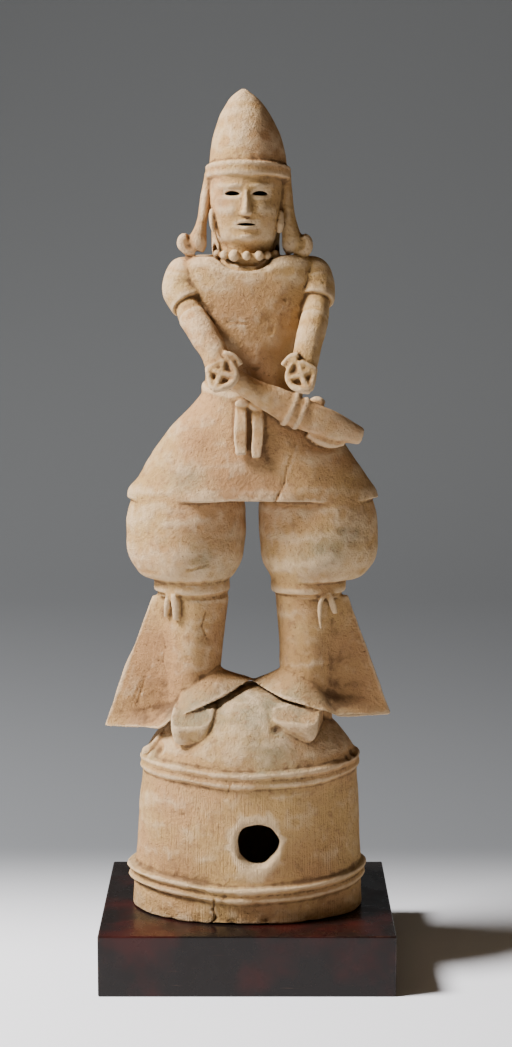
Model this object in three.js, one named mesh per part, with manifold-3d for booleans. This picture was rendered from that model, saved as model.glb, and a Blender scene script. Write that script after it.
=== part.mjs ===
// A haniwa figure: a hollow terracotta warrior in a peaked cap, on its own oval drum and a lacquered plinth.
// Millimetres, +Z up, the figure faces -Y, and the origin is at the middle of the plinth's underside.
import * as THREE from 'three';
import { mergeVertices } from 'three/addons/utils/BufferGeometryUtils.js';
import Module from 'manifold-3d';

const wasm = await Module();
wasm.setup();

// Driving dimensions
const plinthLength = 430;
const plinthDepth = 372;
const plinthHeight = 90;
const gap = 0.3;
const wall = 15;
const axisY = -20; // the figure's own middle plane, front to back
const drumHalfWidth = 173;
const drumTopHalfWidth = 160;
const ovalRatio = 0.68; // the drum's depth over its width
const lowerHoopHeight = 138;
const domeFoot = 311;
const domeTop = 425;
const domePower = 1.7; // how full the dome's outline is seen from the front
const domeSidePower = 2.4; // and seen from the side
const hoopTall = 24;
const hoopProud = 9;
const holeRadius = 29;
const holeHeight = 210;
const holeX = 17;
const holeY = 105; // the middle of the drum's wall, before and behind its axis
const kneeHeight = 573;
const skirtHem = 705;
const waistHeight = 860;
const shoulderHeight = 1058;
const chinHeight = 1076;
const bandHeight = 1176;
const tipHeight = 1296;

// Solids

// Turns a closed three.js geometry into a solid, with its shared corners merged
function solid(geometry) {
  const bare = geometry.clone();
  bare.deleteAttribute('normal');
  bare.deleteAttribute('uv');
  const joined = mergeVertices(bare, 1e-4);
  return new wasm.Manifold(new wasm.Mesh({
    numProp: 3,
    vertProperties: new Float32Array(joined.attributes.position.array),
    triVerts: new Uint32Array(joined.index.array),
  }));
}

function union(solids) {
  return solids.reduce((all, next) => all.add(next));
}

// Moves each corner of a unit cylinder: place(turn, rise, reach) gives its new point
function warped(sides, steps, place) {
  const shape = new THREE.CylinderGeometry(1, 1, 1, sides, steps).rotateX(Math.PI / 2);
  const corners = shape.attributes.position;
  for (let i = 0; i < corners.count; i += 1) {
    const x = corners.getX(i);
    const y = corners.getY(i);
    const point = place(Math.atan2(y, x), corners.getZ(i) + 0.5, Math.hypot(x, y));
    corners.setXYZ(i, point.x, point.y, point.z);
  }
  return solid(shape);
}

// Signed power, for superellipse sections
const bent = (value, power) => Math.sign(value) * Math.abs(value) ** power;

// Level oval sections stacked upwards; each station is [x, y, z, half width, half depth]
function stack(stations, sides, steps, roundness = 2) {
  const middles = new THREE.CatmullRomCurve3(stations.map(([x, y, z]) => new THREE.Vector3(x, y, z)));
  const sizes = new THREE.CatmullRomCurve3(stations.map(([, , z, w, d]) => new THREE.Vector3(w, d, z)));
  return warped(sides, steps, (turn, rise, reach) => {
    const middle = middles.getPoint(rise);
    const size = sizes.getPoint(rise);
    const x = bent(Math.cos(turn), 2 / roundness) * size.x * reach;
    const y = bent(Math.sin(turn), 2 / roundness) * size.y * reach;
    return new THREE.Vector3(middle.x + x, middle.y + y, size.z);
  });
}

// A limb or strip: sections square to a path; each station is [x, y, z, half width, half thickness].
// The width lies across `face`, the direction that the flat side looks to.
function sweep(stations, sides, steps, face = new THREE.Vector3(0, -1, 0)) {
  const path = new THREE.CatmullRomCurve3(stations.map(([x, y, z]) => new THREE.Vector3(x, y, z)));
  const sizes = new THREE.CatmullRomCurve3(stations.map(([, , z, w, d]) => new THREE.Vector3(w, d, z)));
  return warped(sides, steps, (turn, rise, reach) => {
    const along = path.getTangent(rise);
    const across = new THREE.Vector3().crossVectors(face, along).normalize();
    const out = new THREE.Vector3().crossVectors(along, across);
    const size = sizes.getPoint(rise);
    return path.getPoint(rise)
      .addScaledVector(across, Math.cos(turn) * size.x * reach)
      .addScaledVector(out, Math.sin(turn) * size.y * reach);
  });
}

function ball(x, y, z, halfWidth, halfDepth, halfHeight, sides = 10, rows = 6) {
  const shape = new THREE.SphereGeometry(1, sides, rows).rotateX(Math.PI / 2);
  return solid(shape.scale(halfWidth, halfDepth, halfHeight).translate(x, y, z));
}

// Drum and dome

// An oval level section round the drum's upright axis
const oval = (x, height, halfWidth) => [x, axisY, height, halfWidth, halfWidth * ovalRatio];

// A clay hoop pressed round the drum: its foot, its flat face and its head
function hoop(height, halfWidth, proud) {
  const half = hoopTall / 2;
  const x = 4 * (height - plinthHeight) / (domeFoot - plinthHeight);
  return [
    oval(x, height - half, halfWidth),
    oval(x, height - half * 0.4, halfWidth + proud),
    oval(x, height + half * 0.4, halfWidth + proud),
    oval(x, height + half, halfWidth - 1),
  ];
}

// The dome rises from the upper hoop to the ridge that carries the legs
function dome(rows, inset) {
  const rise = domeTop - domeFoot - inset;
  const halfWidth = drumTopHalfWidth - inset;
  const halfDepth = halfWidth * ovalRatio;
  const narrowed = (climb, power) => Math.max((1 - climb ** power) ** (1 / power), 0.01);
  return Array.from({ length: rows }, (_, row) => {
    const climb = Math.sin(((row + 1) / rows) * Math.PI / 2);
    const width = halfWidth * narrowed(climb, domePower);
    return [4, axisY, domeFoot + rise * climb, width, halfDepth * narrowed(climb, domeSidePower)];
  });
}

function drumAndDome() {
  const stations = [
    oval(0, plinthHeight + gap, drumHalfWidth),
    ...hoop(lowerHoopHeight, drumHalfWidth - 2, hoopProud),
    ...hoop(domeFoot, drumTopHalfWidth, hoopProud - 2),
    ...dome(6, 0).slice(1),
  ];
  return stack(stations, 24, stations.length - 1);
}

function drumHollow() {
  const stations = [
    oval(0, plinthHeight - 10, drumHalfWidth - wall),
    oval(4, domeFoot, drumTopHalfWidth - wall),
    ...dome(4, wall),
  ];
  return stack(stations, 16, stations.length - 1);
}

// The round holes through the drum, front and rear
function drumHole(y) {
  const rod = new THREE.CylinderGeometry(holeRadius, holeRadius, 70, 16);
  return solid(rod.translate(holeX, y, holeHeight));
}

// Legs: side is -1 for the leg at -X and 1 for the leg at +X

const legX = (side) => (side < 0 ? -80 : 89);
const legRadius = 46;
const fin = { tipX: 213, topX: 140, top: 558, sharpness: 10 };
const rimOuterHeight = (side) => (side < 0 ? 360 : 376);
const rimInnerHeight = 427;
const rimInnerX = 7;
const rimSpread = 31; // how far the rim turns out from the leg
const rimCurl = 11; // and the height over which it turns
const rimThickness = 9;

function shin(side, inset) {
  const x = legX(side);
  const out = side * 4;
  return stack([
    [x + out, axisY + 4, 330, 40 - inset, 38 - inset],
    [x + out, axisY + 2, 440, 42 - inset, 42 - inset],
    [x, axisY, 500, 46 - inset, 45 - inset],
    [x, axisY + 2, kneeHeight, 56 - inset, 52 - inset],
  ], inset ? 8 : 12, inset ? 3 : 5);
}

function thigh(side, inset) {
  const x = side < 0 ? -92 : 107;
  return stack([
    [legX(side), axisY + 2, kneeHeight - 8, 58 - inset, 52 - inset],
    [x, axisY + 4, kneeHeight + 22, 82 - inset, 65 - inset],
    [x, axisY + 5, 648, 89 - inset, 72 - inset],
    [x - side * 3, axisY + 5, 705, 82 - inset, 70 - inset],
    [x - side * 12, axisY + 4, 752, 56 - inset, 52 - inset],
  ], inset ? 10 : 14, inset ? 4 : 5);
}

// The rim's height drops from the inner tip to the front and the fin, following the dome
function rimHeight(side, x) {
  const fall = THREE.MathUtils.clamp((Math.abs(x) - rimInnerX) / (fin.tipX - rimInnerX) / 0.75, 0, 1);
  return THREE.MathUtils.lerp(rimOuterHeight(side), rimInnerHeight, 0.5 + 0.5 * Math.cos(Math.PI * fall));
}

// The trouser leg below the knee: round in front, pinched to a fin on its outer side, its rim turned out
function trouserFoot(side, inset) {
  const middle = legX(side);
  const rimRadius = legRadius + rimSpread;
  const top = inset ? 432 : fin.top;
  return warped(inset ? 14 : 16, inset ? 3 : 6, (turn, rise, reach) => {
    const outward = side * Math.cos(turn);
    const pinch = Math.max(outward, 0) ** fin.sharpness;
    const rimReach = rimRadius * outward + pinch * (fin.tipX - Math.abs(middle) - rimRadius);
    const rimX = middle + side * rimReach;
    const rimZ = rimHeight(side, rimX) - inset;
    const z = THREE.MathUtils.lerp(rimZ, top, rise ** 1.7);
    const curl = Math.exp((rimZ - z) / rimCurl);
    const radius = legRadius - inset + rimSpread * curl;
    const pointed = 0.5 * curl;
    const finX = THREE.MathUtils.mapLinear(z, rimZ, fin.top, fin.tipX, fin.topX) - inset;
    const across = radius * outward + pinch * Math.max(0, finX - Math.abs(middle) - radius);
    const y = axisY + (radius - 2) * Math.sin(turn) * (outward < 0 ? Math.abs(Math.sin(turn)) ** pointed : 1);
    return new THREE.Vector3(
      middle + side * across * reach,
      THREE.MathUtils.lerp(axisY, y, reach),
      z,
    );
  });
}

function kneeBand(side) {
  const x = legX(side) + side;
  return stack([
    [x, axisY + 2, kneeHeight - 12, 55, 51],
    [x, axisY + 2, kneeHeight - 6, 60, 56],
    [x, axisY + 2, kneeHeight + 8, 60, 56],
    [x, axisY + 2, kneeHeight + 13, 55, 51],
  ], 14, 3);
}

// A blunt shoe, its flat top sloping down to the toe
function shoe(side) {
  const toe = side < 0 ? { x: -83, halfWidth: 28, top: 380 } : { x: 69, halfWidth: 32, top: 384 };
  const heel = { x: side < 0 ? -80 : 76, halfWidth: 34, top: toe.top + 30 };
  const toeY = -113;
  const heelY = -20;
  const base = 325;
  const profile = new THREE.Shape();
  profile.moveTo(heelY, base);
  profile.lineTo(heelY, heel.top);
  profile.lineTo(toeY + 47, heel.top);
  profile.lineTo(toeY + 5, toe.top);
  profile.lineTo(toeY, toe.top - 6);
  profile.lineTo(toeY + 9, toe.top - 28);
  profile.lineTo(toeY + 28, base);
  const shape = new THREE.ExtrudeGeometry(profile, { depth: 2, steps: 2, bevelEnabled: false });
  // The profile stands in Y and Z, and its thickness runs along X from -1 to 1
  const corners = shape.rotateX(Math.PI / 2).rotateZ(Math.PI / 2).translate(-1, 0, 0).attributes.position;
  for (let i = 0; i < corners.count; i += 1) {
    const across = corners.getX(i);
    const back = THREE.MathUtils.inverseLerp(toeY, heelY, corners.getY(i));
    const halfWidth = THREE.MathUtils.lerp(toe.halfWidth, heel.halfWidth, back);
    const roundToe = 8 * across ** 2 * (1 - back) ** 4;
    corners.setX(i, THREE.MathUtils.lerp(toe.x, heel.x, back) + across * halfWidth);
    corners.setY(i, corners.getY(i) + roundToe);
  }
  return solid(shape);
}

// Skirt, torso and belt

function coat(inset) {
  return stack([
    [9, axisY + 6, skirtHem, 185 - inset, 86 - inset],
    [5, axisY + 4, 780, 138 - inset, 73 - inset],
    [9, axisY + 1, waistHeight - 10, 72 - inset, 54 - inset],
    [8, axisY, waistHeight + 20, 68 - inset, 52 - inset],
    [5, axisY, 940, 82 - inset, 55 - inset],
    [3, axisY, 1000, 104 - inset, 52 - inset],
    [2, axisY, 1034, 108 - inset, 46 - inset],
    [2, axisY, shoulderHeight - inset * 0.8, 92 - inset, 38 - inset],
  ], 24, 8, 2.1);
}

// The hem stands clear of the thighs all round, so the skirt's lower edge is a lip
function hemHollow() {
  return stack([
    [9, axisY + 6, skirtHem - 12, 177, 78],
    [9, axisY + 6, skirtHem + 12, 160, 70],
  ], 24, 1, 2.1);
}

function beltTies() {
  const drops = [[-10, 843, -8.5, 776], [15.5, 838, 14.5, 771]];
  return union(drops.map(([topX, top, footX, foot]) => sweep([
    [topX, -76, top + 8, 6, 5],
    [(topX + footX) / 2, -89, (top + foot) / 2, 9.5, 6],
    [footX, -98, foot, 7, 5],
  ], 6, 3)));
}

// Arms, hands and sword

const arms = {
  left: [[-92, -18, 1024, 31, 31], [-92, -30, 1004, 29, 28], [-80, -47, 982, 24, 24]],
  leftForearm: [
    [-84, -44, 986, 20, 20], [-71, -69, 962, 20, 20], [-53, -88, 931, 20, 19], [-36, -104, 896, 22, 15],
  ],
  right: [[97, -16, 1022, 31, 31], [105, -28, 1008, 28, 28], [104, -43, 988, 24, 24]],
  rightForearm: [
    [104, -42, 992, 20, 20], [99, -60, 966, 20, 20], [93, -79, 938, 20, 19], [79, -101, 896, 22, 15],
  ],
};

function armSolids() {
  const front = new THREE.Vector3(0, -1, 0.4);
  return union([
    sweep([...arms.left].reverse(), 10, 2, front),
    sweep([...arms.leftForearm].reverse(), 9, 3, front),
    sweep([...arms.right].reverse(), 10, 2, front),
    sweep([...arms.rightForearm].reverse(), 9, 3, front),
    ball(-94, -18, 1024, 31, 30, 33, 10, 5),
    ball(98, -16, 1022, 32, 30, 34, 10, 5),
  ]);
}

// A hand is a loop of rolled clay with crossing strips, and a thumb; side mirrors it
function hand(x, z, side) {
  const y = -118;
  const strips = [
    [[8, 22], [16, 10], [18, -5], [11, -15], [-12, -20]],
    [[2, 19], [-2, 0], [-11, -20]],
    [[-19, 7], [0, 1], [17, -2]],
    [[2, 19], [-19, 7], [-13, -20]],
    [[2, 30], [15, 24], [25, 14]],
  ];
  const rolls = strips.map((points) => sweep(
    points.map(([u, v]) => [x - side * u, y + 0.25 * v, z + v, 4, 4]).reverse(), 4, 3,
    new THREE.Vector3(0, -1, 0.05),
  ));
  const palm = ball(x, y + 12, z, 18, 10, 22, 6, 4);
  return union([palm, ...rolls]);
}

function sword() {
  const hilt = [[61, -84, 840, 25, 14], [22, -88, 861, 17, 14], [-17, -96, 884, 13, 14]];
  const scabbard = [[166, -64, 799, 14, 10], [128, -74, 814, 20, 13], [74, -84, 834, 24, 14]];
  const collars = [[61, -84, 840], [75, -82, 834]];
  return union([
    sweep(hilt, 10, 3),
    sweep(scabbard, 10, 3),
    ...collars.map(([x, y, z]) => sweep([[x + 5, y, z - 2.5, 26, 19], [x - 5, y, z + 2.5, 26, 19]], 8, 1)),
    ball(100, -66, 843, 13, 14, 12, 7, 5),
    ball(124, -70, 789, 18, 10, 9, 7, 5),
  ]);
}

// Head, cap and hair

const headX = -1;
const headY = -14;

function neckAndFace(inset) {
  return stack([
    [headX, headY, 1030, 41 - inset, 38 - inset],
    [headX, headY, chinHeight, 44 - inset, 43 - inset],
    [headX, headY - 4, chinHeight + 22, 48 - inset, 47 - inset],
    [headX, headY - 3, 1145, 52 - inset, 50 - inset],
    [headX + 1, headY, bandHeight, 57 - inset, 54 - inset],
  ], inset ? 10 : 16, inset ? 4 : 5);
}

function cap(inset) {
  return stack([
    [2, headY, bandHeight - 4, 58 - inset, 56 - inset],
    [1, headY, 1205, 56 - inset, 54 - inset],
    [-1, headY, 1243, 45 - inset, 44 - inset],
    [-3, headY, 1270 - inset / 4, 30 - inset, 29 - inset],
    [-4, headY, 1288 - inset, 14 - inset * 0.8, 14 - inset * 0.8],
    [-4, headY, tipHeight - 1.6 * inset, 3, 3],
  ], inset ? 10 : 16, inset ? 4 : 7);
}

// The cap's band tips back a little, its front higher than its sides
function capBand() {
  const tilt = 0.12;
  return warped(18, 3, (turn, rise, reach) => {
    const proud = rise > 0.1 && rise < 0.9 ? 4 : 0;
    const y = headY + (58 + proud) * Math.sin(turn) * reach;
    const z = bandHeight - 10 + 20 * rise - tilt * (y - headY);
    return new THREE.Vector3(1.5 + (60 + proud) * Math.cos(turn) * reach, y, z);
  });
}

// The face is plain: eyes at half the head's height, one eye's width apart, the nose's foot halfway from brow
// to chin, and the mouth a third of the way from there to the chin
const eye = { height: 1146, x: 20, halfWidth: 10, halfHeight: 3 };
const nose = { top: 1158, foot: 1117, halfWidth: 9, proud: 13 };
const mouth = { height: 1103, halfWidth: 15, halfHeight: 2.4 };
const faceFront = headY - 49;

function noseSolid() {
  const outline = new THREE.Shape();
  outline.moveTo(headX - nose.halfWidth, nose.foot);
  outline.lineTo(headX + nose.halfWidth, nose.foot);
  outline.lineTo(headX + nose.halfWidth / 2, nose.top);
  outline.lineTo(headX - nose.halfWidth / 2, nose.top);
  const shape = new THREE.ExtrudeGeometry(outline, { depth: 20, bevelEnabled: false });
  const corners = shape.rotateX(Math.PI / 2).translate(0, faceFront + 8, 0).attributes.position;
  for (let i = 0; i < corners.count; i += 1) {
    const down = (nose.top - corners.getZ(i)) / (nose.top - nose.foot);
    if (corners.getY(i) < faceFront) {
      corners.setX(i, THREE.MathUtils.lerp(headX, corners.getX(i), 0.5));
      corners.setY(i, faceFront - nose.proud * down);
    }
  }
  return solid(shape);
}

// An eye or mouth slit, cut right through the clay
function slit(x, z, halfWidth, halfHeight) {
  const shape = new THREE.SphereGeometry(1, 8, 4);
  return solid(shape.scale(halfWidth, 40, halfHeight).translate(x, headY - 45, z));
}

function sideLock(side) {
  const x = (value) => headX + side * value;
  const lock = sweep([
    [x(56), headY, 1172, 8, 13],
    [x(61), headY - 3, 1130, 8, 14],
    [x(67), headY - 8, 1098, 10, 14],
    [x(80), headY - 12, 1076, 12, 12],
    [x(95), headY - 14, 1076, 8, 9],
  ].reverse(), 8, 6);
  const curl = ball(x(93), headY - 14, 1084, 7, 8, 8, 6, 4);
  const earDrop = ball(x(49), headY - 22, 1106, 5, 7, 17, 6, 5);
  return union([lock, curl, earDrop]);
}

function necklace() {
  const height = 1063;
  const strand = stack([
    [headX, headY, height - 5, 42, 40],
    [headX, headY - 1, height, 50, 47],
    [headX, headY, height + 5, 42, 40],
  ], 16, 2);
  const beads = [];
  const beadCount = 7;
  for (let i = 0; i < beadCount; i += 1) {
    const turn = THREE.MathUtils.degToRad(-90 + (i - (beadCount - 1) / 2) * 23);
    const x = headX + 51 * Math.cos(turn);
    beads.push(ball(x, headY + 48 * Math.sin(turn), height, 6.5, 6.5, 7, 5, 3));
  }
  return union([strand, ...beads]);
}

function torsoHollow() {
  return stack([
    [0, axisY, 735, 88, 40],
    [8, axisY, 800, 80, 48],
    [8, axisY, 870, 52, 37],
    [3, axisY, 1000, 82, 36],
    [2, axisY, 1040, 60, 28],
  ], 12, 4);
}

// A ring-shaped trench between the coat's collar and the neck
function collarTrench() {
  const low = 1040;
  const trench = stack([[headX, headY, low, 50, 47], [headX, headY, low + 40, 66, 58]], 16, 1);
  return trench.subtract(stack([[headX, headY, low - 5, 41, 38], [headX, headY, low + 50, 41, 38]], 16, 1));
}

// Assembly

function figureSolid() {
  const outside = union([
    drumAndDome(),
    coat(0).subtract(hemHollow()).subtract(collarTrench()),
    neckAndFace(0),
    cap(0),
    capBand(),
    noseSolid(),
    necklace(),
    armSolids(),
    hand(-35, 893, -1),
    hand(76, 891, 1),
    sword(),
    beltTies(),
    ...[-1, 1].flatMap((side) => [
      trouserFoot(side, 0).subtract(trouserFoot(side, rimThickness)),
      shin(side, 0),
      thigh(side, 0),
      kneeBand(side),
      shoe(side),
      sideLock(side),
    ]),
  ]);
  const inside = union([
    drumHollow(),
    torsoHollow(),
    neckAndFace(wall),
    cap(wall),
    shin(-1, wall),
    shin(1, wall),
    thigh(-1, wall),
    thigh(1, wall),
    drumHole(axisY - holeY),
    drumHole(axisY + holeY),
    slit(headX - eye.x, eye.height, eye.halfWidth, eye.halfHeight),
    slit(headX + eye.x, eye.height, eye.halfWidth, eye.halfHeight),
    slit(headX, mouth.height, mouth.halfWidth, mouth.halfHeight),
  ]);
  return outside.subtract(inside);
}

function meshOf(manifold, name, material) {
  const { vertProperties, triVerts } = manifold.getMesh();
  const geometry = new THREE.BufferGeometry();
  geometry.setAttribute('position', new THREE.BufferAttribute(vertProperties, 3));
  geometry.setIndex(new THREE.BufferAttribute(triVerts, 1));
  geometry.computeVertexNormals();
  const mesh = new THREE.Mesh(geometry, material);
  mesh.name = name;
  return mesh;
}

const terracotta = new THREE.MeshStandardMaterial({ color: 0xc8a27c, roughness: 0.9, metalness: 0 });
const lacqueredWood = new THREE.MeshStandardMaterial({ color: 0x2a1413, roughness: 0.35, metalness: 0 });

const plinth = new THREE.Mesh(new THREE.BoxGeometry(plinthLength, plinthDepth, plinthHeight), lacqueredWood);
plinth.name = 'plinth';
plinth.position.z = plinthHeight / 2;

const haniwa = new THREE.Group();
haniwa.add(meshOf(figureSolid(), 'haniwa_figure', terracotta), plinth);

export default haniwa;
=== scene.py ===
"""A haniwa figure: a hollow terracotta warrior in a peaked cap on its own drum, on a lacquered wood
plinth."""
import math

import bpy
import numpy as np
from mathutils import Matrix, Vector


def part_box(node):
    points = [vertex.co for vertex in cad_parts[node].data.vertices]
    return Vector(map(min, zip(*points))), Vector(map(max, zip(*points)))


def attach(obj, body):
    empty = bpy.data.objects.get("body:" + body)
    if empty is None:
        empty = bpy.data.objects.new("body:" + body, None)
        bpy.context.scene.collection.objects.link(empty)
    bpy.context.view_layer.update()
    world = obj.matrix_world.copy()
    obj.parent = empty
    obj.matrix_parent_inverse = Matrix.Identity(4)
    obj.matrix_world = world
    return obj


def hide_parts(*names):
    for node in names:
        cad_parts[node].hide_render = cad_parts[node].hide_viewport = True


bl_info = {
    "name": "Haniwa figure",
    "version": (1, 0, 0),
    "blender": (4, 5, 0),
    "location": "3D View > Sidebar > Haniwa",
    "description": "Builds the clay and the plinth of a haniwa figure around its packed CAD part",
    "category": "Add Mesh",
}

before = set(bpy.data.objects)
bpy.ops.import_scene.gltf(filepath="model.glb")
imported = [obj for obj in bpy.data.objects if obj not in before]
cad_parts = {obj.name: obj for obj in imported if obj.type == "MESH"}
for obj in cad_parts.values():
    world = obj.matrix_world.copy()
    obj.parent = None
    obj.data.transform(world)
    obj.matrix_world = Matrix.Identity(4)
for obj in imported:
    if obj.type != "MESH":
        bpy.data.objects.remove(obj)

MM = 0.001
LEFT = -1
RIGHT = 1
LOW, HIGH = (np.array(corner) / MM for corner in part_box("haniwa_figure"))
AXIS_Y = -20.0  # the figure's own middle plane, front to back
HALF_SPAN = 214.5  # the most that the clay reaches to each side, at the fins
DRUM_FOOT = round(LOW[2], 1)
DRUM_HALF = 173.0
DRUM_TOP_HALF = 160.0
OVAL = 0.68  # the drum's depth over its width
DOME_FOOT = 311.0
DOME_TOP = 425.0
LOWER_HOOP = 138.0
HOOP_HALF_TALL = 12.0
KNEE = 573.0
HEM = 705.0
HEAD_X = -1.0
HEAD_Y = -14.0
BAND = 1176.0
TIP = round(HIGH[2], 1) - 1


# Surfaces: whole arrays of points in millimetres

def through(stations, count):
    """Rows drawn smoothly through the stations: a cubic between each two, its slopes taken from their
    neighbours."""
    rows = np.asarray(stations, float)
    chords = np.linalg.norm(np.diff(rows[:, :3], axis=0), axis=1)
    knots = np.concatenate([[0.0], np.cumsum(chords)]) / chords.sum()
    slopes = np.gradient(rows, knots, axis=0)
    at = np.linspace(0, 1, count)
    i = np.clip(np.searchsorted(knots, at, side="right") - 1, 0, len(knots) - 2)
    span = (knots[i + 1] - knots[i])[:, None]
    u = (at - knots[i])[:, None] / span
    start = (2 * u**3 - 3 * u**2 + 1) * rows[i] + (u**3 - 2 * u**2 + u) * span * slopes[i]
    end = (3 * u**2 - 2 * u**3) * rows[i + 1] + (u**3 - u**2) * span * slopes[i + 1]
    return start + end


def bent(value, power):
    """A power that keeps the sign, for superellipse sections."""
    return np.sign(value) * np.abs(value) ** power


def turns(sides):
    """Even angles once round a section."""
    return np.arange(sides) / sides * 2 * math.pi


def level(stations, rows=60, sides=96, roundness=2.0, inset=0.0):
    """Level superellipse sections stacked along smooth stations of [x, y, z, half width, half depth]."""
    s = through(np.array(stations) - [0, 0, 0, inset, inset], rows)[:, None, :]
    turn = turns(sides)[None]
    x = s[..., 0] + s[..., 3] * bent(np.cos(turn), 2 / roundness)
    y = s[..., 1] + s[..., 4] * bent(np.sin(turn), 2 / roundness)
    return np.stack([x, y, np.broadcast_to(s[..., 2], x.shape)], -1)


def limb(stations, rows=40, sides=32, face=(0.0, -1.0, 0.0), roundness=2.0):
    """Superellipse sections square to a smooth path of [x, y, z, half width, half thickness]; the flat side
    looks along face."""
    s = through(stations, rows)
    along = np.gradient(s[:, :3], axis=0)
    along /= np.linalg.norm(along, axis=1, keepdims=True)
    across = np.cross(np.asarray(face, float), along)
    across /= np.linalg.norm(across, axis=1, keepdims=True)
    out = np.cross(along, across)
    turn = turns(sides)
    wide = s[:, 3, None] * bent(np.cos(turn), 2 / roundness)[None]
    thick = s[:, 4, None] * bent(np.sin(turn), 2 / roundness)[None]
    return s[:, None, :3] + wide[..., None] * across[:, None] + thick[..., None] * out[:, None]


def oval_pipe(middle, reach, thick, tilt, sides, rolls):
    """A pipe (half thickness across and up) along a level oval; its height adds tilt times cos and sin of the
    turn."""
    turn = turns(sides)[None]
    roll = turns(rolls)[:, None]
    x = middle[0] + (reach[0] + thick[0] * np.cos(roll)) * np.cos(turn)
    y = middle[1] + (reach[1] + thick[0] * np.cos(roll)) * np.sin(turn)
    z = middle[2] + tilt[1] * np.sin(turn) + tilt[0] * np.cos(turn) + thick[1] * np.sin(roll)
    return np.stack([x, y, z], -1)


def lump(middle, halves, power=1.0):
    """An egg of clay: level rings of an ellipsoid, of radius sin(rise)^power, fuller when power is under
    1."""
    rise = np.linspace(0.02, 0.98, 16) * math.pi
    radius = np.sin(rise)[:, None] ** power
    turn = turns(24)[None]
    x = middle[0] + halves[0] * radius * np.cos(turn)
    y = middle[1] + halves[1] * radius * np.sin(turn)
    z = middle[2] - halves[2] * np.cos(rise)[:, None]
    return np.stack([x, y, np.broadcast_to(z, x.shape)], -1)


def outwards(points, tris):
    """The points and triangles, turned over if the volume that they enclose comes out negative."""
    p, q, r = points[tris[:, 0]], points[tris[:, 1]], points[tris[:, 2]]
    volume = np.einsum("ij,ij->i", p, np.cross(q, r)).sum()
    return points, tris if volume > 0 else tris[:, ::-1]


def halves(a, b, c, d):
    """Each four-sided face a, b, c, d as two triangles."""
    return [np.stack([a, b, c], -1).reshape(-1, 3), np.stack([a, c, d], -1).reshape(-1, 3)]


def closed(rings):
    """Points and triangles of rings (rows, sides, 3) wrapped round, with a fan closing each end."""
    rows, sides = rings.shape[:2]
    points = np.concatenate([rings.reshape(-1, 3), rings[:1].mean(1), rings[-1:].mean(1)])
    here = np.arange(sides)
    after = (here + 1) % sides
    row = (np.arange(rows - 1) * sides)[:, None]
    last = (rows - 1) * sides
    foot = np.full(sides, rows * sides)
    fans = [np.stack([foot, after, here], -1), np.stack([foot + 1, last + here, last + after], -1)]
    walls = halves(row + here, row + after, row + sides + after, row + sides + here)
    return outwards(points, np.concatenate(walls + fans))


def pipe(ring):
    """Points and triangles of a closed pipe (rolls, turns, 3) that wraps both ways."""
    rolls, sides = ring.shape[:2]
    i = np.arange(rolls)[:, None] * sides
    j = np.arange(sides)[None]
    up = (i + sides) % (rolls * sides)
    across = (j + 1) % sides
    return outwards(ring.reshape(-1, 3), np.concatenate(halves(i + j, i + across, up + across, up + j)))


def merged(surfaces):
    """Several closed surfaces, each points and triangles, as one."""
    starts = np.cumsum([0] + [len(points) for points, _ in surfaces[:-1]])
    points = np.concatenate([points for points, _ in surfaces])
    return points, np.concatenate([tris + start for (_, tris), start in zip(surfaces, starts)])


# Drum and dome

def smooth_step(value, low, high):
    """From 0 at low to 1 at high along u^2 (3 - 2u)."""
    u = np.clip((value - low) / (high - low), 0, 1)
    return u * u * (3 - 2 * u)


def hoop(z, middle, proud):
    """A hoop pressed round the drum: a lip at its top, a shallow hollow, and a lower lip that stands out
    less."""
    u = (z - middle) / HOOP_HALF_TALL
    band = smooth_step(u, -1.2, -0.7) * (1 - smooth_step(u, 0.75, 1.1))
    hollow = 0.3 * np.exp(-(((u + 0.05) / 0.3) ** 2))
    return proud * band * (0.72 + 0.28 * smooth_step(u, 0.0, 0.7) - hollow)


def drum():
    """The drum's width falls evenly to the upper hoop, then as (1 - climb^1.6)^(1/1.6) up the dome, and its
    depth as (1 - climb^2.4)^(1/2.4); the two hoops wander a few millimetres up and down."""
    turn = turns(260)[None]
    wall = np.linspace(DRUM_FOOT, DOME_FOOT, 110)
    climb = np.sin(np.linspace(0.02, 1, 60) * math.pi / 2) * 0.9995
    z = np.concatenate([wall, DOME_FOOT + (DOME_TOP - DOME_FOOT) * climb])[:, None]
    up = np.clip((z - DRUM_FOOT) / (DOME_FOOT - DRUM_FOOT), 0, 1)
    over = np.clip((z - DOME_FOOT) / (DOME_TOP - DOME_FOOT), 0, 1)
    half = DRUM_HALF + (DRUM_TOP_HALF - DRUM_HALF) * up
    wander = (5 * np.cos(2 * turn) + 1.2 * np.sin(3 * turn + 2.2)
              + 0.9 * np.sin(5 * turn + 1) + 0.5 * np.sin(8 * turn))
    left = smooth_step(-np.cos(turn), 0.3, 1.0)
    proud = hoop(z, LOWER_HOOP + 3 + wander, 8.5 + 5 * left) + hoop(z, DOME_FOOT - 1.5 + 0.8 * wander, 7.0)
    reach_x = half * (1 - over**1.6) ** (1 / 1.6) + proud
    reach_y = half * OVAL * (1 - over**2.4) ** (1 / 2.4) + proud
    x = 4 * up + reach_x * np.cos(turn)
    y = AXIS_Y + reach_y * np.sin(turn)
    foot = smooth_step(z, 122, 92)
    lift = 1.6 * np.sin(3 * turn + 0.4) + 1.4 * np.sin(5 * turn + 1.0) + 0.8 * np.sin(11 * turn)
    return np.stack([x, y, z + foot * np.clip(lift, 0, 5)], -1)


def lip():
    """A worn lip of clay that runs up the dome from the upper hoop: oval sections along a short path."""
    path = [[-153, -44, 318, 4, 4], [-146, -50, 330, 5, 4.5], [-136, -52, 344, 4.5, 4.5],
            [-127, -52, 356, 4, 4]]
    return limb(path, 30, 24)


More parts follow.
